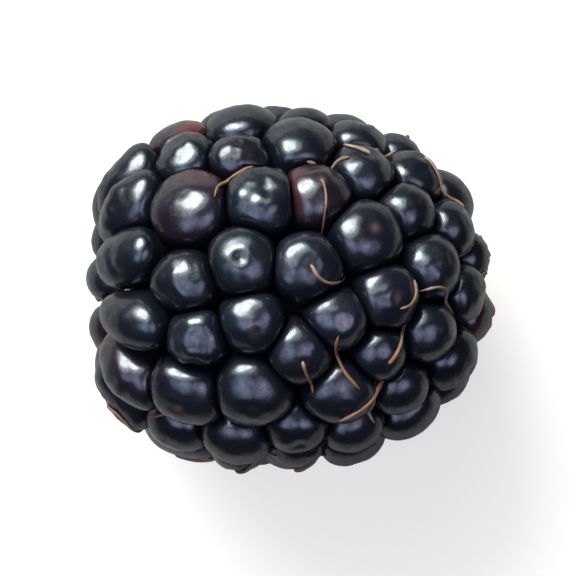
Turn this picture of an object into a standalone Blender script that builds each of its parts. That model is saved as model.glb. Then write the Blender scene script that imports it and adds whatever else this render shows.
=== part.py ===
"""Bramble berry: one ripe berry as picked, lying on its side on the surface z = 0.

The berry's own axis runs from its stem end, towards -X, to its tip, towards +X. It is laid out
first along that axis, with u as the distance along it and r as the distance from it, and is
turned and lowered into its resting place last. Units are metres, +Z is up.
"""
import math

import bmesh
import bpy
import numpy as np
from mathutils import Matrix, Vector

MM = 0.001

# Driving dimensions of the berry.
BERRY_LENGTH = 25.0 * MM
BERRY_WIDTH = 23.5 * MM
DRUPELET_RADIUS = 2.3 * MM
TIP_DRUPELET_RADIUS = 1.75 * MM
STEM_END = -11.0 * MM

# Surface that the drupelets' centres lie on. Its widest ring is at u = 0.
CENTRE_RADIUS = BERRY_WIDTH / 2 - DRUPELET_RADIUS
CENTRE_STEM_REACH = 10.8 * MM
CENTRE_TIP_REACH = BERRY_LENGTH + STEM_END - TIP_DRUPELET_RADIUS
STEM_FULLNESS = 0.92
TIP_FULLNESS = 0.78

# The row of long drupelets that curls into the hollow at the stem end.
STEM_ROW_COUNT = 11
STEM_ROW_ANGLE = math.radians(39.0)
STEM_ROW_HALF_LENGTH = 3.2 * MM
STEM_ROW_HALF_WIDTH = 2.05 * MM
STEM_ROW_CURL = math.radians(-12.0)

# Spacing of the other drupelets, from the second row to the tip. They start on a golden-angle
# spiral and settle by pushing apart any two that are closer than their pitch and a little more.
PITCH_AT_STEM = 4.1 * MM
PITCH_AT_TIP = 3.1 * MM
PITCH_FALL = 1.4
SECOND_ROW_ANGLE = math.radians(60.0)
GOLDEN_ANGLE = math.pi * (3.0 - math.sqrt(5.0))
SPIRAL_STEPS = 2000
SETTLE_STEPS = 160
SETTLE_REACH = 1.25
SETTLE_SHARE = 0.15
LAYOUT_SEED = 4

# Size of a drupelet for its pitch, and how much it may differ from its neighbours.
RADIUS_PER_PITCH = 0.59
SLIMMEST = 0.84
PLUMPEST = 1.16
SHORTEST = 0.95
TALLEST = 1.05
MOST_STRETCH = 0.16
HEIGHT_PER_PLUMPNESS = 0.5
SIZE_SEED = 5

# Pale plug of pith in the hollow, and the recess that holds it with a gap all round.
PLUG_RADIUS = 2.75 * MM
PLUG_FACE = -8.9 * MM
PLUG_INNER_END = -5.0 * MM
PLUG_INNER_RADIUS = 1.5 * MM
PLUG_PIT_DEPTH = 0.45 * MM
PLUG_SIDES = 30
PLUG_GAP = 0.35 * MM
HOLLOW_FLOOR = -8.2 * MM

# The berry's rest: how far it is rolled about its axis, how far its tip is raised,
# and how deep the lowest drupelets are flattened by its weight.
ROLL = math.radians(175.0)
TIP_RAISED = math.radians(-5.1)
FLATTENED = 0.35 * MM

# Facets.
DRUPELET_SIDES = 10
DRUPELET_RINGS = 7
CORE_SIDES = 24
CORE_RINGS = 14
CORE_SHARE = 0.97
MERGE_DISTANCE = 0.002 * MM


def centre_point(theta, phi):
    """Point of the centres' surface at polar angle theta from the stem end and angle phi round it."""
    stemward = theta < math.pi / 2
    reach = CENTRE_STEM_REACH if stemward else CENTRE_TIP_REACH
    fullness = STEM_FULLNESS if stemward else TIP_FULLNESS
    u = -reach * math.cos(theta)
    r = CENTRE_RADIUS * abs(math.sin(theta)) ** fullness
    return Vector((u, r * math.cos(phi), r * math.sin(phi)))


def polar_angles(point):
    """Polar angle and angle round the axis of a point, as centre_point counts them."""
    stemward = point.x < 0.0
    reach = CENTRE_STEM_REACH if stemward else CENTRE_TIP_REACH
    fullness = STEM_FULLNESS if stemward else TIP_FULLNESS
    r = math.hypot(point.y, point.z) / CENTRE_RADIUS
    theta = math.atan2(r ** (1.0 / fullness), -point.x / reach)
    return theta, math.atan2(point.z, point.y)


def pitch_at(theta):
    """Distance between neighbouring drupelets, which shrinks towards the tip."""
    share = (theta - SECOND_ROW_ANGLE) / (math.pi - SECOND_ROW_ANGLE)
    share = min(max(share, 0.0), 1.0)
    return PITCH_AT_STEM + (PITCH_AT_TIP - PITCH_AT_STEM) * share ** PITCH_FALL


def spiral_angles():
    """Polar angles at which a spiral to the tip gives each drupelet its own share of the surface."""
    angles = np.linspace(SECOND_ROW_ANGLE, math.pi, SPIRAL_STEPS)
    counted = 0.0
    found = []
    for low, high in zip(angles[:-1], angles[1:]):
        first = centre_point(low, 0.0)
        second = centre_point(high, 0.0)
        ring = math.pi * (abs(first.y) + abs(second.y)) * (second - first).length
        share = 0.5 * math.sqrt(3.0) * pitch_at(0.5 * (low + high)) ** 2
        counted += ring / share
        if counted >= len(found) + 0.5:
            found.append(0.5 * (low + high))
    return found


def drupelet_places():
    """Polar angle, angle round the axis and relative size of every drupelet, the stem row first."""
    rng = np.random.RandomState(LAYOUT_SEED)
    stem_row = []
    for index in range(STEM_ROW_COUNT):
        phi = 2.0 * math.pi * (index + rng.uniform(-0.10, 0.10)) / STEM_ROW_COUNT
        stem_row.append((STEM_ROW_ANGLE + math.radians(rng.uniform(-2.0, 2.0)), phi))
    body = []
    for index, theta in enumerate(spiral_angles()):
        body.append((theta, index * GOLDEN_ANGLE + rng.uniform(-0.05, 0.05)))
    places = stem_row + body
    points = np.array([centre_point(theta, phi) for theta, phi in places])
    plumpness = rng.uniform(SLIMMEST, PLUMPEST, len(places))
    plumpness[:STEM_ROW_COUNT] = 1.0
    for step in range(SETTLE_STEPS):
        pitches = plumpness * np.array([pitch_at(theta) for theta, phi in places])
        apart = points[:, None, :] - points[None, :, :]
        distance = np.linalg.norm(apart, axis=2) + np.eye(len(points))
        wanted = 0.5 * SETTLE_REACH * (pitches[:, None] + pitches[None, :])
        push = np.clip(wanted - distance, 0.0, None) * (1.0 - np.eye(len(points)))
        moves = (apart / distance[:, :, None] * push[:, :, None]).sum(axis=1) * SETTLE_SHARE
        for index in range(STEM_ROW_COUNT, len(points)):
            moved = Vector(points[index]) + Vector(moves[index])
            places[index] = polar_angles(moved)
            points[index] = centre_point(*places[index])
    return [(theta, phi, plump) for (theta, phi), plump in zip(places, plumpness)]


def drupelet_frame(theta, phi):
    """Turn whose axes point along the meridian to the tip, round the berry's axis, and outwards."""
    step = 0.001
    along = (centre_point(theta + step, phi) - centre_point(theta - step, phi)).normalized()
    across = Vector((0.0, math.sin(phi), -math.cos(phi)))
    return Matrix((along, across, along.cross(across))).transposed()


def new_object(name, bm, collection):
    """Object made of a bmesh, which is freed."""
    mesh = bpy.data.meshes.new(name)
    bm.to_mesh(mesh)
    bm.free()
    thing = bpy.data.objects.new(name, mesh)
    collection.objects.link(thing)
    return thing


def soft_ball(bm, theta, phi, half_sizes, curl):
    """Ball with half sizes along the meridian, round the axis and outwards, its pole outwards."""
    turn = drupelet_frame(theta, phi) @ Matrix.Rotation(curl, 3, "Y")
    shape = turn @ Matrix.Diagonal(half_sizes)
    bmesh.ops.create_uvsphere(
        bm, u_segments=DRUPELET_SIDES, v_segments=DRUPELET_RINGS, radius=1.0,
        matrix=Matrix.Translation(centre_point(theta, phi)) @ shape.to_4x4())


def make_core(collection):
    """Solid middle that the drupelets are rooted in, cut off square under the hollow."""
    bm = bmesh.new()
    bmesh.ops.create_uvsphere(bm, u_segments=CORE_SIDES, v_segments=CORE_RINGS, radius=1.0)
    for vert in bm.verts:
        theta = math.acos(min(max(vert.co.z, -1.0), 1.0))
        point = centre_point(theta, math.atan2(vert.co.y, vert.co.x)) * CORE_SHARE
        point.x = max(point.x, HOLLOW_FLOOR)
        vert.co = point
    bmesh.ops.recalc_face_normals(bm, faces=bm.faces)
    return new_object("drupelets", bm, collection)


def make_drupelet(index, place, rng, collection):
    """One drupelet: a long one in the stem row, and a rounder, smaller one towards the tip."""
    bm = bmesh.new()
    theta, phi, plump = place
    taller = rng.uniform(SHORTEST, TALLEST)
    longer = rng.uniform(0.0, MOST_STRETCH)
    if index < STEM_ROW_COUNT:
        sizes = (STEM_ROW_HALF_LENGTH * taller, STEM_ROW_HALF_WIDTH, DRUPELET_RADIUS * taller)
        soft_ball(bm, theta, phi, sizes, STEM_ROW_CURL)
    else:
        radius = RADIUS_PER_PITCH * pitch_at(theta) * plump
        tipward = (theta - SECOND_ROW_ANGLE) / (math.pi - SECOND_ROW_ANGLE)
        stretch = 1.0 + longer * (1.0 - tipward)
        height = DRUPELET_RADIUS + (TIP_DRUPELET_RADIUS - DRUPELET_RADIUS) * tipward ** 2
        height *= taller * (1.0 + HEIGHT_PER_PLUMPNESS * (plump - 1.0))
        soft_ball(bm, theta, phi, (radius * stretch, radius, height), 0.0)
    return new_object("drupelet_%03d" % index, bm, collection)


def plug_radius(angle):
    """Ragged star outline of the plug, where the sepals and the first drupelets tore away."""
    return PLUG_RADIUS * (1.0 + 0.13 * math.cos(5.0 * angle + 0.4) + 0.05 * math.cos(8.0 * angle + 2.0))


def plug_rings(bm, levels, gap):
    """Rings joined into a closed plug. A level is its place u, mean radius and share of the star."""
    rings = []
    for u, mean, star in levels:
        ring = []
        for side in range(PLUG_SIDES):
            angle = 2.0 * math.pi * side / PLUG_SIDES
            r = mean * (1.0 + star * (plug_radius(angle) / PLUG_RADIUS - 1.0)) + gap
            ring.append(bm.verts.new((u, r * math.cos(angle), r * math.sin(angle))))
        rings.append(ring)
    for low, high in zip(rings[:-1], rings[1:]):
        for side in range(PLUG_SIDES):
            after = (side + 1) % PLUG_SIDES
            bm.faces.new((low[side], low[after], high[after], high[side]))
    bm.faces.new(rings[0])
    bm.faces.new(rings[-1])
    bmesh.ops.recalc_face_normals(bm, faces=bm.faces)


def plug_wall(gap, outer_end):
    """Levels of the plug's side, from its inner end out to its rim."""
    return [
        (PLUG_INNER_END + gap, PLUG_INNER_RADIUS, 0.0),
        (0.5 * (PLUG_INNER_END + HOLLOW_FLOOR), 0.78 * PLUG_RADIUS, 0.4),
        (HOLLOW_FLOOR, 0.95 * PLUG_RADIUS, 0.9),
        (outer_end, PLUG_RADIUS, 1.0),
    ]


def make_plug(collection):
    """Pale plug of pith: ragged rim, sloping shoulder and a small pit in the middle of its face."""
    bm = bmesh.new()
    face = [
        (PLUG_FACE, 0.8 * PLUG_RADIUS, 0.7),
        (PLUG_FACE + 0.12 * MM, 0.36 * PLUG_RADIUS, 0.0),
        (PLUG_FACE + PLUG_PIT_DEPTH, 0.15 * PLUG_RADIUS, 0.0),
    ]
    plug_rings(bm, plug_wall(0.0, PLUG_FACE + 0.25 * MM) + face, 0.0)
    return new_object("receptacle", bm, collection)


def make_recess(collection):
    """Cutter for the recess that holds the plug."""
    bm = bmesh.new()
    plug_rings(bm, plug_wall(PLUG_GAP, PLUG_FACE - PLUG_GAP), PLUG_GAP)
    return new_object("recess", bm, collection)


def apply_modifiers(thing):
    """Leave the object with its evaluated mesh and no modifiers."""
    graph = bpy.context.evaluated_depsgraph_get()
    finished = bpy.data.meshes.new_from_object(thing.evaluated_get(graph))
    thing.modifiers.clear()
    thing.data = finished


def add_boolean(thing, operation, operand):
    """Boolean modifier with an object or with every object of a collection."""
    boolean = thing.modifiers.new(operation.lower(), "BOOLEAN")
    boolean.operation = operation
    boolean.solver = "EXACT"
    if isinstance(operand, bpy.types.Collection):
        boolean.operand_type = "COLLECTION"
        boolean.collection = operand
    else:
        boolean.object = operand


def keep_outer_shell(thing):
    """Drop the closed pockets and slivers that fusing leaves between the roots of the drupelets."""
    bm = bmesh.new()
    bm.from_mesh(thing.data)
    waiting = set(bm.faces)
    shells = []
    while waiting:
        shell = {waiting.pop()}
        edge_of_shell = list(shell)
        while edge_of_shell:
            face = edge_of_shell.pop()
            for edge in face.edges:
                for neighbour in edge.link_faces:
                    if neighbour in waiting:
                        waiting.remove(neighbour)
                        shell.add(neighbour)
                        edge_of_shell.append(neighbour)
        shells.append(shell)
    shells.sort(key=len)
    pockets = [face for shell in shells[:-1] for face in shell]
    bmesh.ops.delete(bm, geom=pockets, context="FACES")
    bmesh.ops.remove_doubles(bm, verts=bm.verts, dist=MERGE_DISTANCE)
    bmesh.ops.dissolve_degenerate(bm, edges=bm.edges, dist=MERGE_DISTANCE)
    stray = [edge for edge in bm.edges if not edge.link_faces]
    bmesh.ops.delete(bm, geom=stray, context="EDGES")
    bmesh.ops.holes_fill(bm, edges=bm.edges, sides=0)
    bm.to_mesh(thing.data)
    bm.free()


def cut_flat(thing, height):
    """Cut away what lies below a height and close the cuts with flat faces."""
    bm = bmesh.new()
    bm.from_mesh(thing.data)
    geometry = bm.verts[:] + bm.edges[:] + bm.faces[:]
    cut = bmesh.ops.bisect_plane(
        bm, geom=geometry, dist=1e-7, plane_co=(0.0, 0.0, height), plane_no=(0.0, 0.0, -1.0),
        clear_outer=True)
    rim = [item for item in cut["geom_cut"] if isinstance(item, bmesh.types.BMEdge)]
    bmesh.ops.edgeloop_fill(bm, edges=rim)
    bmesh.ops.recalc_face_normals(bm, faces=bm.faces)
    bm.to_mesh(thing.data)
    bm.free()


def skin(name, colour, roughness):
    """Principled material of one flat colour."""
    material = bpy.data.materials.new(name)
    material.use_nodes = True
    shader = material.node_tree.nodes["Principled BSDF"]
    shader.inputs["Base Color"].default_value = (*colour, 1.0)
    shader.inputs["Roughness"].default_value = roughness
    shader.inputs["Metallic"].default_value = 0.0
    return material


for old in list(bpy.data.objects):
    bpy.data.objects.remove(old, do_unlink=True)

places = drupelet_places()
size_rng = np.random.RandomState(SIZE_SEED)
scene_collection = bpy.context.scene.collection
heap = bpy.data.collections.new("heap")
scene_collection.children.link(heap)

berry = make_core(scene_collection)
for index, place in enumerate(places):
    make_drupelet(index, place, size_rng, heap)
add_boolean(berry, "UNION", heap)
apply_modifiers(berry)
for loose in list(heap.objects):
    bpy.data.objects.remove(loose, do_unlink=True)
bpy.data.collections.remove(heap)

recess = make_recess(scene_collection)
add_boolean(berry, "DIFFERENCE", recess)
apply_modifiers(berry)
bpy.data.objects.remove(recess, do_unlink=True)
keep_outer_shell(berry)
plug = make_plug(scene_collection)

# Lay the berry down: roll it, tilt it, flatten its lowest drupelets and centre it on the origin.
pose = Matrix.Rotation(-TIP_RAISED, 4, "Y") @ Matrix.Rotation(ROLL, 4, "X")
berry.data.transform(pose)
lowest = min(vert.co.z for vert in berry.data.vertices)
cut_flat(berry, lowest + FLATTENED)
corners = np.array([vert.co for vert in berry.data.vertices])
low, high = corners.min(axis=0), corners.max(axis=0)
settle = Matrix.Translation((-0.5 * (low[0] + high[0]), -0.5 * (low[1] + high[1]), -low[2]))
berry.data.transform(settle)
plug.data.transform(settle @ pose)

berry.data.materials.clear()
berry.data.materials.append(skin("drupelet_skin", (0.012, 0.010, 0.020), 0.30))
plug.data.materials.clear()
plug.data.materials.append(skin("dried_pith", (0.42, 0.29, 0.19), 0.85))
for piece in (berry, plug):
    piece.data.shade_smooth()
    piece.data.set_sharp_from_angle(angle=math.radians(40.0))
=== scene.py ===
import math

import bmesh
import bpy
import numpy as np
from mathutils import Matrix, Vector, noise
from mathutils.bvhtree import BVHTree


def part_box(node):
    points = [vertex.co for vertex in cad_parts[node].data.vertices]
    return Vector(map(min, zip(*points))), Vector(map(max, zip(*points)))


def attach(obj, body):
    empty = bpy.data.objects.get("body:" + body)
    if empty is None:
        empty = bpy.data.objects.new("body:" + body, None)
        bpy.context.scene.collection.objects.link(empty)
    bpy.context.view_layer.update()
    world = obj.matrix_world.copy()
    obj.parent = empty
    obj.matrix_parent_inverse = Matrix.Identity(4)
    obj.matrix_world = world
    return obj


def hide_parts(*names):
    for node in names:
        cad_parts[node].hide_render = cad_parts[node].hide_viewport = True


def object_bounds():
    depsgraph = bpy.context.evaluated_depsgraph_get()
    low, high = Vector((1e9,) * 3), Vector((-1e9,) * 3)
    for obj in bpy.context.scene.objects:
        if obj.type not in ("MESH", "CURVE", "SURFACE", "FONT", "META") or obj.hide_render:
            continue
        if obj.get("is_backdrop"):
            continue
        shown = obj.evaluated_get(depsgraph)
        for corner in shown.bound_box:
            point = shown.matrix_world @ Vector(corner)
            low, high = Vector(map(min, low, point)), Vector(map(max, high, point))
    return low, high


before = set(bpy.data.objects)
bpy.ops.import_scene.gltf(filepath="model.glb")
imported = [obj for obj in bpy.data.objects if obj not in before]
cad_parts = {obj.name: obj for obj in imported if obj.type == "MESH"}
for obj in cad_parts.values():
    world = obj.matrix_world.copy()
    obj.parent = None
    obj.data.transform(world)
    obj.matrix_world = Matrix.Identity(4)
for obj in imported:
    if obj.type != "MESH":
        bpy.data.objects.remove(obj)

solid_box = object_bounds()

# The seats of the drupelets. A bramble berry is a crowd of small juicy fruits, each grown from its
# own carpel on one middle. They sit on a barrel-shaped surface in an uneven spiral, with a row of
# long ones curled round the hollow where the stalk was.
MM = 0.001
BERRY_LENGTH = 25.0 * MM
BERRY_WIDTH = 23.5 * MM
DRUPELET_RADIUS = 2.3 * MM
TIP_DRUPELET_RADIUS = 1.75 * MM
STEM_END = -11.0 * MM
SEAT_RADIUS = BERRY_WIDTH / 2 - DRUPELET_RADIUS
SEAT_STEM_REACH = 10.8 * MM
SEAT_TIP_REACH = BERRY_LENGTH + STEM_END - TIP_DRUPELET_RADIUS
STEM_FULLNESS = 0.92
TIP_FULLNESS = 0.78
STEM_ROW_COUNT = 11
STEM_ROW_ANGLE = math.radians(39.0)
STEM_ROW_UNEVENNESS = 0.10
STEM_ROW_STRAY_DEGREES = 2.0
SECOND_ROW_ANGLE = math.radians(60.0)
PITCH_AT_STEM = 4.1 * MM
PITCH_AT_TIP = 3.1 * MM
PITCH_FALL = 1.4
GOLDEN_ANGLE = math.pi * (3.0 - math.sqrt(5.0))
SPIRAL_STRAY = 0.05
SPIRAL_STEPS = 2000
SETTLE_STEPS = 160
SETTLE_REACH = 1.25
SETTLE_SHARE = 0.15
SLIMMEST = 0.84
PLUMPEST = 1.16
LAYOUT_SEED = 4


def seat_point(theta, phi):
    """Point of the seats' surface at polar angle theta from the stem end and angle phi round it."""
    stemward = theta < math.pi / 2
    reach = SEAT_STEM_REACH if stemward else SEAT_TIP_REACH
    fullness = STEM_FULLNESS if stemward else TIP_FULLNESS
    r = SEAT_RADIUS * abs(math.sin(theta)) ** fullness
    return Vector((-reach * math.cos(theta), r * math.cos(phi), r * math.sin(phi)))


def seat_angles(point):
    """Polar angle and angle round the axis of a point, as seat_point counts them."""
    stemward = point.x < 0.0
    reach = SEAT_STEM_REACH if stemward else SEAT_TIP_REACH
    fullness = STEM_FULLNESS if stemward else TIP_FULLNESS
    r = math.hypot(point.y, point.z) / SEAT_RADIUS
    return math.atan2(r ** (1.0 / fullness), -point.x / reach), math.atan2(point.z, point.y)


def seat_pitch(theta):
    """Distance between neighbouring drupelets, which shrinks towards the tip."""
    share = (theta - SECOND_ROW_ANGLE) / (math.pi - SECOND_ROW_ANGLE)
    share = min(max(share, 0.0), 1.0)
    return PITCH_AT_STEM + (PITCH_AT_TIP - PITCH_AT_STEM) * share ** PITCH_FALL


def spiral_angles():
    """Polar angles at which a spiral to the tip gives each drupelet its own share of the surface."""
    angles = np.linspace(SECOND_ROW_ANGLE, math.pi, SPIRAL_STEPS)
    counted = 0.0
    found = []
    for low, high in zip(angles[:-1], angles[1:]):
        first = seat_point(low, 0.0)
        second = seat_point(high, 0.0)
        ring = math.pi * (abs(first.y) + abs(second.y)) * (second - first).length
        honeycomb_cell = 0.5 * math.sqrt(3.0) * seat_pitch(0.5 * (low + high)) ** 2
        counted += ring / honeycomb_cell
        if counted >= len(found) + 0.5:
            found.append(0.5 * (low + high))
    return found


def settle_seats():
    """Polar angle, angle round the axis and relative size of every drupelet, the stem row first."""
    rng = np.random.RandomState(LAYOUT_SEED)
    seats = []
    for index in range(STEM_ROW_COUNT):
        uneven = rng.uniform(-STEM_ROW_UNEVENNESS, STEM_ROW_UNEVENNESS)
        stray = math.radians(rng.uniform(-STEM_ROW_STRAY_DEGREES, STEM_ROW_STRAY_DEGREES))
        seats.append((STEM_ROW_ANGLE + stray, 2.0 * math.pi * (index + uneven) / STEM_ROW_COUNT))
    for index, theta in enumerate(spiral_angles()):
        seats.append((theta, index * GOLDEN_ANGLE + rng.uniform(-SPIRAL_STRAY, SPIRAL_STRAY)))
    points = np.array([seat_point(theta, phi) for theta, phi in seats])
    plumpness = rng.uniform(SLIMMEST, PLUMPEST, len(seats))
    plumpness[:STEM_ROW_COUNT] = 1.0
    for step in range(SETTLE_STEPS):
        pitches = plumpness * np.array([seat_pitch(theta) for theta, phi in seats])
        apart = points[:, None, :] - points[None, :, :]
        distance = np.linalg.norm(apart, axis=2) + np.eye(len(points))
        wanted = 0.5 * SETTLE_REACH * (pitches[:, None] + pitches[None, :])
        push = np.clip(wanted - distance, 0.0, None) * (1.0 - np.eye(len(points)))
        moves = (apart / distance[:, :, None] * push[:, :, None]).sum(axis=1) * SETTLE_SHARE
        for index in range(STEM_ROW_COUNT, len(points)):
            seats[index] = seat_angles(Vector(points[index]) + Vector(moves[index]))
            points[index] = seat_point(*seats[index])
    return [(theta, phi, plump) for (theta, phi), plump in zip(seats, plumpness)]


# The drupelets: thin-skinned, taut with juice, each pressed against its neighbours so that its
# sides are flat, its shoulders round and its top free. All grow together at their roots on the
# berry's middle, and its own weight flattens the lowest ones a little.
STEM_ROW_HALF_LENGTH = 3.2 * MM
STEM_ROW_HALF_WIDTH = 2.05 * MM
STEM_ROW_CURL = math.radians(-12.0)
RADIUS_PER_PITCH = 0.605
HEIGHT_PER_PLUMPNESS = 0.5
SHORTEST = 0.95
TALLEST = 1.05
MOST_STRETCH = 0.16
SIZE_SEED = 5
SIDES = 32
RINGS = 30
APEX_CROWDING = 1.35
PRESSED_EDGE = 11.0
PRESSED_GAP = 0.015 * MM
PRESSED_SHADE = 3.0
NEIGHBOUR_REACH = 7.5 * MM
HOLLOW_FLOOR = -8.2 * MM
CORE_SHARE = 0.90
CORE_SIDES = 48
CORE_RINGS = 28
ROLL = math.radians(175.0)
TIP_RAISED = math.radians(-5.1)
FLATTENED = 0.35 * MM

# How a drupelet's skin differs from its neighbours': the dimple that the style leaves at its apex,
# how slack and lumpy it is, its ripeness, and the red flush on one shoulder of the least ripe.
LOOKS_SEED = 23
DIMPLE_DEPTHS = (0.02, 0.07, 0.14)
DIMPLE_SHARES = (0.60, 0.27, 0.13)
DIMPLE_WIDTH = 0.17
DIMPLE_RIM_ANGLE = 0.30
DIMPLE_RIM_WIDTH = 0.12
DIMPLE_RIM_HEIGHT = 0.25
SLACKNESS = (0.12, 0.20, 0.32)
SLACKNESS_SHARES = (0.55, 0.33, 0.12)
LUMP_SPREAD = 9.0
LUMP_DETAIL = 1.1
FINE_LUMP_DETAIL = 3.2
FINE_LUMP_SHARE = 0.38
SLACK_SINKING = 0.2
SCAR_STRENGTHS = (0.15, 1.0)
SCAR_SHARES = (0.6, 0.4)
SCAR_WIDTH = 0.12
UNFLUSHED_SHARE = 0.86
FLUSH_SIDEWAYS = 0.92
FLUSH_UPWARDS = 0.39
FLUSH_START = 0.55
FLUSH_FADE = 0.35


def seat_turn(theta, phi):
    """Turn whose axes point along the meridian to the tip, round the berry's axis, and outwards."""
    step = 0.001
    along = (seat_point(theta + step, phi) - seat_point(theta - step, phi)).normalized()
    across = Vector((0.0, math.sin(phi), -math.cos(phi)))
    return Matrix((along, across, along.cross(across))).transposed()


size_rng = np.random.RandomState(SIZE_SEED)
drupelets = []
for index, (theta, phi, plump) in enumerate(settle_seats()):
    taller = size_rng.uniform(SHORTEST, TALLEST)
    longer = size_rng.uniform(0.0, MOST_STRETCH)
    turn = seat_turn(theta, phi)
    if index < STEM_ROW_COUNT:
        turn = turn @ Matrix.Rotation(STEM_ROW_CURL, 3, "Y")
        half = (STEM_ROW_HALF_LENGTH * taller, STEM_ROW_HALF_WIDTH, DRUPELET_RADIUS * taller)
    else:
        tipward = (theta - SECOND_ROW_ANGLE) / (math.pi - SECOND_ROW_ANGLE)
        radius = RADIUS_PER_PITCH * seat_pitch(theta) * plump
        height = DRUPELET_RADIUS + (TIP_DRUPELET_RADIUS - DRUPELET_RADIUS) * tipward ** 2
        height *= taller * (1.0 + HEIGHT_PER_PLUMPNESS * (plump - 1.0))
        half = (radius * (1.0 + longer * (1.0 - tipward)), radius, height)
    seat = np.array(seat_point(theta, phi))
    drupelets.append({"seat": seat, "turn": np.array(turn), "half": np.array(half)})


def reach_of(drupelet, directions):
    """Distance from a drupelet's seat to its round skin along each direction."""
    local = directions @ drupelet["turn"] / drupelet["half"]
    return 1.0 / np.linalg.norm(local, axis=1)


def shape_drupelet(index, directions):
    """Distance to the skin along each direction, and how hard it is pressed there, from 0 to 1."""
    own = drupelets[index]
    free = reach_of(own, directions)
    total = free ** -PRESSED_EDGE
    for other_index, other in enumerate(drupelets):
        apart = other["seat"] - own["seat"]
        distance = np.linalg.norm(apart)
        if other_index == index or distance > NEIGHBOUR_REACH:
            continue
        towards = apart / distance
        mine = reach_of(own, towards[None, :])[0]
        theirs = reach_of(other, -towards[None, :])[0]
        wall = distance * mine / (mine + theirs) - PRESSED_GAP
        facing = np.clip(directions @ towards, 0.0, None)
        total += (facing / wall) ** PRESSED_EDGE
    reach = total ** (-1.0 / PRESSED_EDGE)
    return reach, 1.0 - reach / free


# Every drupelet is the same ball, its rings drawn together at the apex, pulled to its own shape.
ball = bmesh.new()
bmesh.ops.create_uvsphere(ball, u_segments=SIDES, v_segments=RINGS, radius=1.0)
polar = np.array([math.acos(min(max(vert.co.z, -1.0), 1.0)) for vert in ball.verts])
polar = math.pi * (polar / math.pi) ** APEX_CROWDING
around = np.array([math.atan2(vert.co.y, vert.co.x) for vert in ball.verts])
out = np.sin(polar)
local = np.stack([out * np.cos(around), out * np.sin(around), np.cos(polar)], axis=1)
ball_mesh = bpy.data.meshes.new("ball")
ball.to_mesh(ball_mesh)
ball.free()
top = int(np.argmin(polar))

looks_rng = np.random.RandomState(LOOKS_SEED)
body = bmesh.new()
marks = {"tint": [], "apex": [], "pressed": [], "flush": []}
apexes = []
for index, drupelet in enumerate(drupelets):
    directions = local @ drupelet["turn"].T
    reach, pressed = shape_drupelet(index, directions)
    # How hard each point is pressed; the skin's finish paints shade in the creases from it.
    pressed = np.clip(PRESSED_SHADE * pressed, 0.0, 1.0)
    dimple_depth = looks_rng.choice(DIMPLE_DEPTHS, p=DIMPLE_SHARES) * MM
    slack = looks_rng.choice(SLACKNESS, p=SLACKNESS_SHARES) * MM
    dimple = np.exp(-(polar / DIMPLE_WIDTH) ** 2)
    rim = np.exp(-((polar - DIMPLE_RIM_ANGLE) / DIMPLE_RIM_WIDTH) ** 2)
    lump_seed = Vector(looks_rng.normal(size=3)) * LUMP_SPREAD
    lump = np.array([noise.noise(Vector(place) * LUMP_DETAIL + lump_seed) for place in local])
    fine_lump = np.array([noise.noise(Vector(place) * FINE_LUMP_DETAIL + lump_seed) for place in local])
    reach = reach + (DIMPLE_RIM_HEIGHT * rim - dimple) * dimple_depth
    reach = reach + (1.0 - pressed) * slack * (lump + FINE_LUMP_SHARE * fine_lump - SLACK_SINKING)
    places = drupelet["seat"] + directions * reach[:, None]
    ball_mesh.vertices.foreach_set("co", places.ravel())
    body.from_mesh(ball_mesh)
    apexes.append((Vector(places[top]), Vector(directions[top])))
    tone = looks_rng.uniform(0.0, 1.0)
    turned = looks_rng.uniform(0.0, 2.0 * math.pi)
    shoulder = local @ np.array((
        FLUSH_SIDEWAYS * math.cos(turned),
        FLUSH_SIDEWAYS * math.sin(turned),
        FLUSH_UPWARDS))
    unripe = max(0.0, tone - UNFLUSHED_SHARE) / (1.0 - UNFLUSHED_SHARE)
    scar = looks_rng.choice(SCAR_STRENGTHS, p=SCAR_SHARES)
    marks["tint"].append(np.full(len(local), tone))
    marks["apex"].append(scar * np.exp(-(polar / SCAR_WIDTH) ** 2))
    marks["pressed"].append(pressed)
    marks["flush"].append(unripe * np.clip((shoulder - FLUSH_START) / FLUSH_FADE, 0.0, 1.0))

core = bmesh.ops.create_uvsphere(body, u_segments=CORE_SIDES, v_segments=CORE_RINGS, radius=1.0)
for vert in core["verts"]:
    theta = math.acos(min(max(vert.co.z, -1.0), 1.0))
    place = seat_point(theta, math.atan2(vert.co.y, vert.co.x)) * CORE_SHARE
    place.x = max(place.x, HOLLOW_FLOOR)
    vert.co = place
# The core, seen down the gaps, is marked as fully pressed, so its finish paints it with the creases'
# shade.
for mark, value in (("tint", 0.5), ("apex", 0.0), ("pressed", 1.0), ("flush", 0.0)):
    marks[mark].append(np.full(len(core["verts"]), value))
bmesh.ops.recalc_face_normals(body, faces=body.faces)

# Lay it down as the solids lie: rolled, tilted, its lowest drupelets flattened on the surface.
laid = Matrix.Rotation(-TIP_RAISED, 4, "Y") @ Matrix.Rotation(ROLL, 4, "X")
bmesh.ops.transform(body, matrix=laid, verts=body.verts)
solid_low, solid_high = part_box("drupelets")
corners = np.array([vert.co for vert in body.verts])
shift = Vector((
    0.5 * (solid_low[0] + solid_high[0] - corners[:, 0].min() - corners[:, 0].max()),
    0.5 * (solid_low[1] + solid_high[1] - corners[:, 1].min() - corners[:, 1].max()),
    -corners[:, 2].min() - FLATTENED))
bmesh.ops.translate(body, vec=shift, verts=body.verts)
for vert in body.verts:
    vert.co.z = max(vert.co.z, 0.0)
laid = Matrix.Translation(shift) @ laid


def new_piece(name, bm):
    """Smooth object of a bmesh, which is freed; its place is already in the mesh."""
    mesh = bpy.data.meshes.new(name)
    bm.to_mesh(mesh)
    bm.free()
    mesh.shade_smooth()
    piece = bpy.data.objects.new(name, mesh)
    bpy.context.scene.collection.objects.link(piece)
    return piece


def paint(piece, mark, values):
    """Give each point of a piece a value, which its finish reads by the mark's name."""
    piece.data.attributes.new(mark, "FLOAT", "POINT").data.foreach_set("value", values)


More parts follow.
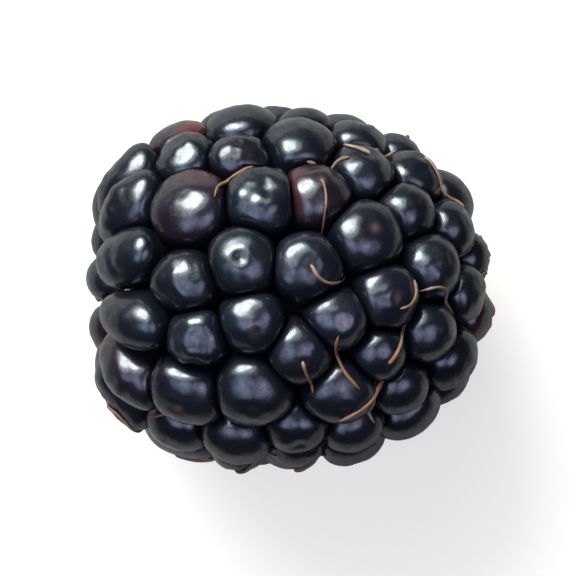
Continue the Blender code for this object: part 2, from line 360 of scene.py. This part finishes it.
drupelets_fine = new_piece("drupelets_fine", body)
for mark, values in marks.items():
    paint(drupelets_fine, mark, np.concatenate(values))


def new_finish(name):
    """Material, its node tree and its Principled shader."""
    material = bpy.data.materials.new(name)
    material.use_nodes = True
    tree = material.node_tree
    return material, tree, tree.nodes["Principled BSDF"]


def set_sockets(node, values):
    """Set input sockets of a node to plain values."""
    for socket, value in values.items():
        node.inputs[socket].default_value = value


def painted(tree, mark):
    """Value that was painted on the piece under this mark."""
    reader = tree.nodes.new("ShaderNodeAttribute")
    reader.attribute_name = mark
    return reader.outputs["Fac"]


def make_mottling():
    """Node group that every finish here uses: fine noise over a piece, and a mask made from it."""
    group = bpy.data.node_groups.new("mottling", "ShaderNodeTree")
    given = group.nodes.new("NodeGroupInput")
    grain = group.nodes.new("ShaderNodeTexNoise")
    mask = group.nodes.new("ShaderNodeMapRange")
    result = group.nodes.new("NodeGroupOutput")
    fed = {
        "Place": grain.inputs["Vector"],
        "Cells": grain.inputs["Scale"],
        "Detail": grain.inputs["Detail"],
        "Roughness": grain.inputs["Roughness"],
        "Low": mask.inputs["From Min"],
        "High": mask.inputs["From Max"],
        "At Low": mask.inputs["To Min"],
        "At High": mask.inputs["To Max"]}
    for name, socket in fed.items():
        kind = "NodeSocketVector" if name == "Place" else "NodeSocketFloat"
        group.interface.new_socket(name, in_out="INPUT", socket_type=kind)
        group.links.new(given.outputs[name], socket)
    group.links.new(grain.outputs["Fac"], mask.inputs["Value"])
    for name, socket in {"Grain": grain.outputs["Fac"], "Mask": mask.outputs["Result"]}.items():
        group.interface.new_socket(name, in_out="OUTPUT", socket_type="NodeSocketFloat")
        group.links.new(socket, result.inputs[name])
    return group


mottling = make_mottling()


def mottled(tree, cells, detail=2.0, roughness=0.5, low=0.0, high=1.0, at_low=0.0, at_high=1.0):
    """Outputs of a mottling with so many cells to the metre; its mask goes from low to high."""
    coords = tree.nodes.new("ShaderNodeTexCoord")
    placed = tree.nodes.new("ShaderNodeGroup")
    placed.node_tree = mottling
    set_sockets(placed, {
        "Cells": cells, "Detail": detail, "Roughness": roughness,
        "Low": low, "High": high, "At Low": at_low, "At High": at_high})
    tree.links.new(coords.outputs["Object"], placed.inputs["Place"])
    return placed.outputs


def rescaled(tree, value, low, high, at_low, at_high):
    """At_low where the value is low, at_high where it is high, even between and held beyond."""
    span = tree.nodes.new("ShaderNodeMapRange")
    set_sockets(span, {"From Min": low, "From Max": high, "To Min": at_low, "To Max": at_high})
    tree.links.new(value, span.inputs["Value"])
    return span.outputs["Result"]


def combined(tree, operation, first, second):
    """Two values put together by an arithmetic operation."""
    arithmetic = tree.nodes.new("ShaderNodeMath")
    arithmetic.operation = operation
    tree.links.new(first, arithmetic.inputs[0])
    tree.links.new(second, arithmetic.inputs[1])
    return arithmetic.outputs["Value"]


def ramped(tree, value, stops):
    """Colour for a value, from stops that each hold a place from 0 to 1 and a colour."""
    ramp = tree.nodes.new("ShaderNodeValToRGB")
    elements = ramp.color_ramp.elements
    for element, (place, colour) in ((elements[0], stops[0]), (elements[1], stops[-1])):
        element.position = place
        element.color = (*colour, 1.0)
    for place, colour in stops[1:-1]:
        elements.new(place).color = (*colour, 1.0)
    tree.links.new(value, ramp.inputs["Fac"])
    return ramp.outputs["Color"]


def blended(tree, share, under, over):
    """Colour from the nodes below, covered by a plain colour as the share rises to 1."""
    mix = tree.nodes.new("ShaderNodeMix")
    mix.data_type = "RGBA"
    mix.inputs["B"].default_value = (*over, 1.0)
    tree.links.new(share, mix.inputs["Factor"])
    tree.links.new(under, mix.inputs["A"])
    return mix.outputs["Result"]


def raise_relief(tree, shader, height, strength, distance):
    """Relief on the shader's normal from a height that varies over the piece."""
    bump = tree.nodes.new("ShaderNodeBump")
    set_sockets(bump, {"Strength": strength, "Distance": distance})
    tree.links.new(height, bump.inputs["Height"])
    tree.links.new(bump.outputs["Normal"], shader.inputs["Normal"])


# Ripe skin: near-black, redder in the least ripe drupelets, with clouds of bloom, a brown scar at
# the apex and painted shade in the creases. A thin coat of wax gives the gloss; it is speckled, and
# thins out to nothing in the creases and to a quarter where the skin is seen edge on.
RIPENESS_STOPS = (
    (0.0, (0.0010, 0.0017, 0.0028)),
    (0.80, (0.0017, 0.0017, 0.0032)),
    (1.0, (0.0044, 0.0013, 0.0032)))
BLOOM_GREY = (0.0065, 0.0080, 0.0125)
SCAR_BROWN = (0.030, 0.017, 0.012)
FLUSH_RED = (0.032, 0.006, 0.005)
# Painted shade: near-black laid over the skin where drupelets press together, and over the core.
CREASE_PAINTED_SHADE = (0.0016, 0.0020, 0.0026)
PORE_DEPTH = 0.07 * MM

ripe_skin, tree, shader = new_finish("ripe_skin")
set_sockets(shader, {"Specular IOR Level": 0.08, "IOR": 1.45, "Coat IOR": 1.42, "Coat Roughness": 0.20})
crease_shade_and_dullness = painted(tree, "pressed")
bloom = mottled(tree, 260.0, detail=4.0, low=0.45, high=0.75, at_high=0.35)
colour = ramped(tree, painted(tree, "tint"), RIPENESS_STOPS)
colour = blended(tree, bloom["Mask"], colour, BLOOM_GREY)
colour = blended(tree, painted(tree, "apex"), colour, SCAR_BROWN)
colour = blended(tree, painted(tree, "flush"), colour, FLUSH_RED)
# Painted shade over the creases and the core.
colour = blended(tree, crease_shade_and_dullness, colour, CREASE_PAINTED_SHADE)
tree.links.new(colour, shader.inputs["Base Color"])

edge_on = tree.nodes.new("ShaderNodeLayerWeight")
edge_on.inputs["Blend"].default_value = 0.5
thinning = rescaled(tree, edge_on.outputs["Facing"], low=0.45, high=0.95, at_low=1.0, at_high=0.25)
speckle = mottled(tree, 2600.0, detail=4.0, roughness=0.65, low=0.35, high=0.60, at_low=0.58)
wax = rescaled(tree, crease_shade_and_dullness, low=0.0, high=1.0, at_low=0.95, at_high=0.0)
wax = combined(tree, "MULTIPLY", wax, thinning)
wax = combined(tree, "MULTIPLY", wax, speckle["Mask"])
tree.links.new(wax, shader.inputs["Coat Weight"])

dullness = mottled(tree, 700.0, detail=3.0, low=0.3, high=0.7, at_low=0.32, at_high=0.46)
dullness = combined(tree, "MAXIMUM", dullness["Mask"], crease_shade_and_dullness)
tree.links.new(dullness, shader.inputs["Roughness"])
pores = mottled(tree, 1300.0, detail=5.0, roughness=0.62)
raise_relief(tree, shader, pores["Grain"], strength=1.0, distance=PORE_DEPTH)
drupelets_fine.data.materials.append(ripe_skin)
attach(drupelets_fine, "root")
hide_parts("drupelets")

# The receptacle: the pith that the drupelets grew on. Picking tears the calyx away, which leaves
# its dry, fibrous end in the hollow as a pale ragged star with a dark pit where the stalk was.
PLUG_RADIUS = 2.75 * MM
PLUG_FACE = -8.9 * MM
PLUG_INNER_END = -5.0 * MM
PLUG_SIDES = 160
STEPS_PER_LEVEL = 4
PIT_ASIDE = 0.30 * MM
PIT_DOWN_PER_ASIDE = 0.6
PIT_EDGE = 0.85
FLAT_MIDDLE = 0.3
FIBRE_RELIEF = 0.15 * MM
FIBRE_BUSYNESS = 6.0
FIBRE_CHANGE = 0.7
SHRED_RELIEF = 0.07 * MM
SHRED_BUSYNESS = 15.0
SHRED_CHANGE = 0.9
SHRED_STAIN = 0.05
CRUMB_RELIEF = 0.12 * MM
CRUMB_BUSYNESS = 2.2
CRUMB_SLICE = 3.0
CRUMB_STAIN = 0.10

# The star's lobes: how many, how deep, and how far they are turned. Its torn edge: how busy the
# tears are, how deep, and which slice of the noise they come from. Depths are shares of the radius.
STAR_LOBES = ((5.0, 0.12, 0.4), (8.0, 0.05, 2.0))
STAR_TEARS = ((2.3, 0.16, 7.0), (9.0, 0.09, 2.0))


def round_noise(angle, busyness, height):
    """Noise round the plug at an angle, from the slice of the noise at this height."""
    return noise.noise(Vector((busyness * math.cos(angle), busyness * math.sin(angle), height)))


def star_radius(angle):
    """Ragged star outline of the torn pith, relative to its radius."""
    lobes = sum(depth * math.cos(count * angle + turn) for count, depth, turn in STAR_LOBES)
    tears = sum(depth * round_noise(angle, busyness, height) for busyness, depth, height in STAR_TEARS)
    return 1.0 + lobes + tears


# Height, share of the radius, and how far the outline is a star, from the buried end to the pit.
pith_levels = np.array((
    (PLUG_INNER_END, 0.55, 0.0),
    (0.5 * (PLUG_INNER_END + HOLLOW_FLOOR), 0.78, 0.4),
    (HOLLOW_FLOOR, 0.95, 0.9),
    (PLUG_FACE + 0.25 * MM, 1.03, 1.0),
    (PLUG_FACE + 0.05 * MM, 0.97, 1.0),
    (PLUG_FACE, 0.85, 0.9),
    (PLUG_FACE + 0.05 * MM, 0.66, 0.6),
    (PLUG_FACE + 0.12 * MM, 0.52, 0.35),
    (PLUG_FACE + 0.02 * MM, 0.40, 0.2),
    (PLUG_FACE, 0.31, 0.15),
    (PLUG_FACE + 0.12 * MM, 0.25, 0.1),
    (PLUG_FACE + 0.40 * MM, 0.20, 0.0),
    (PLUG_FACE + 0.60 * MM, 0.13, 0.0),
    (PLUG_FACE + 0.66 * MM, 0.03, 0.0)))
pith = bmesh.new()
rings = []
zones = []
for step in np.linspace(0.0, len(pith_levels) - 1.0, STEPS_PER_LEVEL * (len(pith_levels) - 1) + 1):
    u, share, star = [np.interp(step, range(len(pith_levels)), column) for column in pith_levels.T]
    aside = PIT_ASIDE * max(0.0, 1.0 - share / PIT_EDGE)
    circle = bmesh.ops.create_circle(pith, segments=PLUG_SIDES, radius=1.0)
    for vert in circle["verts"]:
        angle = math.atan2(vert.co.y, vert.co.x)
        r = PLUG_RADIUS * share * (1.0 + star * (star_radius(angle) - 1.0))
        fibre = round_noise(angle, FIBRE_BUSYNESS, FIBRE_CHANGE * r / MM)
        shred = round_noise(angle, SHRED_BUSYNESS, SHRED_CHANGE * r / MM)
        crumb = round_noise(angle, CRUMB_BUSYNESS * r / MM, CRUMB_SLICE)
        raised = 0.0
        if u < HOLLOW_FLOOR:
            raised = fibre * FIBRE_RELIEF + shred * SHRED_RELIEF + crumb * CRUMB_RELIEF
            raised *= min(1.0, share / FLAT_MIDDLE)
        vert.co = Vector((
            u - raised,
            r * math.cos(angle) + aside,
            r * math.sin(angle) - PIT_DOWN_PER_ASIDE * aside))
        zones.append(share + CRUMB_STAIN * crumb + SHRED_STAIN * shred)
    rings.append(list({edge for vert in circle["verts"] for edge in vert.link_edges}))
for low, high in zip(rings[:-1], rings[1:]):
    bmesh.ops.bridge_loops(pith, edges=low + high)
bmesh.ops.holes_fill(pith, edges=rings[0] + rings[-1], sides=PLUG_SIDES)
bmesh.ops.recalc_face_normals(pith, faces=pith.faces)
bmesh.ops.transform(pith, matrix=laid, verts=pith.verts)
receptacle_fine = new_piece("receptacle_fine", pith)
paint(receptacle_fine, "zone", zones)

# Dried pith: cream to tan, stained along its fibres, dark brown down in the pit and greenish at
# the torn edge. The places run from the middle of the pit out to the rim.
PITH_STOPS = (
    (0.05, (0.034, 0.010, 0.008)),
    (0.20, (0.060, 0.024, 0.016)),
    (0.30, (0.24, 0.145, 0.100)),
    (0.48, (0.165, 0.095, 0.064)),
    (0.64, (0.25, 0.165, 0.108)),
    (0.84, (0.185, 0.130, 0.078)),
    (1.0, (0.090, 0.068, 0.032)))
STAIN_BROWN = (0.075, 0.034, 0.021)
FIBRE_DEPTH = 0.12 * MM

dried_pith, tree, shader = new_finish("dried_pith")
set_sockets(shader, {"Specular IOR Level": 0.2, "Roughness": 0.85})
fibres = mottled(tree, 1400.0, detail=6.0, low=0.48, high=0.72, at_high=0.75)
colour = ramped(tree, painted(tree, "zone"), PITH_STOPS)
colour = blended(tree, fibres["Mask"], colour, STAIN_BROWN)
tree.links.new(colour, shader.inputs["Base Color"])
raise_relief(tree, shader, fibres["Grain"], strength=0.25, distance=FIBRE_DEPTH)
receptacle_fine.data.materials.append(dried_pith)
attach(receptacle_fine, "root")
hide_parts("receptacle")

# The dried styles: the thread that each drupelet's flower part leaves on its top. They dry tan,
# curl, and lie over the drupelets and down between them, and most have dropped off by picking.
STYLE_SHARE = 0.24
LOOSE_STYLES = 20
STYLE_RADIUS = 0.112 * MM
STYLE_POINTS = 11
SHORTEST_STYLE = 2.6 * MM
LONGEST_STYLE = 4.4 * MM
STYLE_LIFT = 0.10 * MM
STYLE_EASING = 5
FIRST_BEND = 0.14
BEND_CHANGE = 0.15
SLIMMEST_STYLE = 0.75
STOUTEST_STYLE = 1.15
ROOT_THICKNESS = 1.15
THINNING = 0.55
THINNEST_KNOT = 0.8
THICKEST_KNOT = 1.15
STIGMA_SWELL = 1.7
STYLE_END = 0.35
SPINE_STEM = -5.0 * MM
SPINE_TIP = 6.0 * MM
FAR_OUT = 25.0 * MM
LOWEST_STYLE = 2.0 * MM
HOLLOW_RADIUS = 4.5 * MM
STYLE_SEED = 41
style_rng = np.random.RandomState(STYLE_SEED)
unlaid = laid.inverted()
skin_points = [vert.co.copy() for vert in drupelets_fine.data.vertices]
skin_faces = [tuple(face.vertices) for face in drupelets_fine.data.polygons]
surface = BVHTree.FromPolygons(skin_points, skin_faces)


def rest_on_skin(point, hug):
    """Point at the thread's height over the drupelets; unless it hugs them it may stay higher."""
    along = min(max((unlaid @ point).x, SPINE_STEM), SPINE_TIP)
    spine = laid @ Vector((along, 0.0, 0.0))
    outward = (point - spine).normalized()
    skin_place, normal, face, depth = surface.ray_cast(spine + outward * FAR_OUT, -outward)
    resting = (skin_place - spine).length + STYLE_LIFT
    if hug or (point - spine).length < resting:
        point = spine + outward * resting
    return point, outward


def lay_style(place, step):
    """Points of one thread that starts at a place on a drupelet and wanders over its neighbours."""
    length = style_rng.uniform(SHORTEST_STYLE, LONGEST_STYLE)
    bend = style_rng.uniform(-FIRST_BEND, FIRST_BEND)
    path = [rest_on_skin(place, True)[0]]
    for count in range(STYLE_POINTS - 1):
        bend += style_rng.uniform(-BEND_CHANGE, BEND_CHANGE)
        point, outward = rest_on_skin(path[-1] + step * length / STYLE_POINTS, True)
        step = Matrix.Rotation(bend, 3, outward) @ (point - path[-1])
        step = (step - outward * step.dot(outward)).normalized()
        path.append(point)
    for round_of_easing in range(STYLE_EASING):
        eased = [0.25 * path[count - 1] + 0.5 * path[count] + 0.25 * path[count + 1]
                 for count in range(1, len(path) - 1)]
        path = [path[0]] + [rest_on_skin(point, False)[0] for point in eased] + [path[-1]]
    return path


def style_thickness(count, last):
    """Relative radius at a point: thinner along the thread, a swollen stigma, and pinched ends."""
    thickness = ROOT_THICKNESS - THINNING * count / last
    if count == last - 1:
        thickness *= STIGMA_SWELL
    if count in (0, last):
        thickness *= STYLE_END
    return thickness


def out_of_place(path):
    """True for a thread that would hang in the stem hollow or reach down to the surface."""
    for point in path:
        place = unlaid @ point
        if place.x < HOLLOW_FLOOR and math.hypot(place.y, place.z) < HOLLOW_RADIUS:
            return True
    return min(point.z for point in path) < LOWEST_STYLE


style_paths = []
for place, way in apexes:
    heading = style_rng.uniform(0.0, 2.0 * math.pi)
    if style_rng.uniform() > STYLE_SHARE:
        continue
    root = laid @ place
    up = (laid.to_3x3() @ way).normalized()
    side = up.orthogonal().normalized()
    path = lay_style(root, math.cos(heading) * side + math.sin(heading) * up.cross(side))
    style_paths.append([root - up * STYLE_RADIUS] + path)
for count in range(LOOSE_STYLES):
    first = drupelets[style_rng.randint(STEM_ROW_COUNT, len(drupelets))]["seat"]
    nearness = sorted(drupelets, key=lambda other: np.linalg.norm(other["seat"] - first))
    second = nearness[style_rng.randint(1, 5)]["seat"]
    crease = laid @ Vector(0.5 * (first + second))
    across = laid.to_3x3() @ Vector(second - first)
    outward = rest_on_skin(crease, True)[1]
    style_paths.append(lay_style(crease, across.cross(outward).normalized()))

threads = bpy.data.curves.new("styles", "CURVE")
threads.dimensions = "3D"
threads.bevel_depth = STYLE_RADIUS
threads.bevel_resolution = 2
threads.resolution_u = 4
threads.use_fill_caps = True
for path in style_paths:
    slimness = style_rng.uniform(SLIMMEST_STYLE, STOUTEST_STYLE)
    if out_of_place(path):
        continue
    spline = threads.splines.new("NURBS")
    spline.points.add(len(path) - 1)
    spline.order_u = 4
    spline.use_endpoint_u = True
    for count, (knot, point) in enumerate(zip(spline.points, path)):
        uneven = style_rng.uniform(THINNEST_KNOT, THICKEST_KNOT)
        knot.co = (*point, 1.0)
        knot.radius = slimness * style_thickness(count, len(path) - 1) * uneven
thread_curve = bpy.data.objects.new("styles_curve", threads)
bpy.context.scene.collection.objects.link(thread_curve)
graph = bpy.context.evaluated_depsgraph_get()
thread_mesh = bpy.data.meshes.new_from_object(thread_curve.evaluated_get(graph))
bpy.data.objects.remove(thread_curve, do_unlink=True)
thread_mesh.name = "styles"
thread_mesh.shade_smooth()
styles = bpy.data.objects.new("styles", thread_mesh)
bpy.context.scene.collection.objects.link(styles)

# Dried thread: tan with darker lengths, and some threads rustier than others.
THREAD_STOPS = ((0.35, (0.036, 0.019, 0.0105)), (0.65, (0.150, 0.099, 0.064)))
THREAD_RUST = (0.092, 0.041, 0.018)

dried_thread, tree, shader = new_finish("dried_thread")
set_sockets(shader, {"Roughness": 0.6, "Specular IOR Level": 0.12})
rust = mottled(tree, 170.0, low=0.42, high=0.58, at_high=0.85)
colour = ramped(tree, mottled(tree, 500.0)["Grain"], THREAD_STOPS)
colour = blended(tree, rust["Mask"], colour, THREAD_RUST)
tree.links.new(colour, shader.inputs["Base Color"])
styles.data.materials.append(dried_thread)
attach(styles, "root")

# The camera looks straight down, as the photograph does, with the berry's tip to the right.
PHOTO_SIDE = 576
BERRY_SPAN = 410
LENS = 250.0
SENSOR = 36.0
low, high = [Vector(corner) for corner in solid_box]
middle = 0.5 * (low + high)
view_width = (high.x - low.x) * PHOTO_SIDE / BERRY_SPAN
camera_data = bpy.data.cameras.new("camera")
camera_data.lens = LENS
camera_data.sensor_width = SENSOR
camera = bpy.data.objects.new("camera", camera_data)
camera.location = middle + Vector((0.0, 0.0, view_width * LENS / SENSOR))
bpy.context.scene.collection.objects.link(camera)
bpy.context.scene.camera = camera

# The floor: a plain pale board, a hair's breadth under the berry. It glows like a lit table where
# it is seen, and not in what the berry mirrors, so that it is pale but the skins stay dark.
FLOOR_HALF_SIDE = 1.5
FLOOR_DROP = 0.02 * MM
FLOOR_TONE = (0.186, 0.172, 0.146, 1.0)
FLOOR_GLOW = (0.57, 0.555, 0.52, 1.0)
NO_GLOW = (0.0, 0.0, 0.0, 1.0)

board = bmesh.new()
bmesh.ops.create_grid(board, x_segments=1, y_segments=1, size=FLOOR_HALF_SIDE)
floor = new_piece("floor", board)
floor.location.z = -FLOOR_DROP
floor_finish, tree, shader = new_finish("floor_finish")
set_sockets(shader, {"Base Color": FLOOR_TONE, "Roughness": 0.8, "Emission Strength": 1.0})
seen = tree.nodes.new("ShaderNodeLightPath")
glow_seen = tree.nodes.new("ShaderNodeMix")
glow_seen.data_type = "RGBA"
set_sockets(glow_seen, {"A": NO_GLOW, "B": FLOOR_GLOW})
tree.links.new(seen.outputs["Is Camera Ray"], glow_seen.inputs["Factor"])
tree.links.new(glow_seen.outputs["Result"], shader.inputs["Emission Color"])
floor.data.materials.append(floor_finish)
floor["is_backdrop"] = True

# Soft studio light: a round key over the top left of the picture, with a wider and dimmer one
# round it, a faint bluish panel on each side of the camera, and a dim surround.
LIGHT_DISTANCE = 0.30
SURROUND_STRENGTH = 0.06


def soft_panel(name, tilt, turn, size, power, colour, spread=180.0):
    """Oval panel aimed at the berry, tilted from straight above towards a compass turn, in degrees."""
    panel = bpy.data.lights.new(name, "AREA")
    panel.shape = "ELLIPSE"
    panel.size, panel.size_y = size
    panel.energy = power
    panel.color = colour
    panel.spread = math.radians(spread)
    tilt = math.radians(tilt)
    turn = math.radians(turn)
    way = Vector((math.sin(tilt) * math.cos(turn), math.sin(tilt) * math.sin(turn), math.cos(tilt)))
    light = bpy.data.objects.new(name, panel)
    light.location = middle + way * LIGHT_DISTANCE
    light.rotation_euler = way.to_track_quat("Z", "Y").to_euler()
    bpy.context.scene.collection.objects.link(light)


soft_panel("key", tilt=50.0, turn=120.0, size=(0.22, 0.19), power=3.6, colour=(0.90, 0.97, 1.0))
soft_panel("glow", tilt=46.0, turn=118.0, size=(0.36, 0.32), power=2.0, colour=(0.76, 0.89, 1.0))
soft_panel("left_panel", tilt=27.0, turn=208.0, size=(0.34, 0.26), power=0.21,
           colour=(0.56, 0.66, 1.0), spread=62.0)
soft_panel("right_panel", tilt=27.0, turn=-28.0, size=(0.34, 0.26), power=0.21,
           colour=(0.62, 0.66, 1.0), spread=62.0)
world = bpy.data.worlds.new("surround")
world.use_nodes = True
surround = world.node_tree.nodes["Background"]
set_sockets(surround, {"Color": (1.0, 1.0, 1.0, 1.0), "Strength": SURROUND_STRENGTH})
bpy.context.scene.world = world
bpy.context.scene.view_settings.view_transform = "Standard"

low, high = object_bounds()
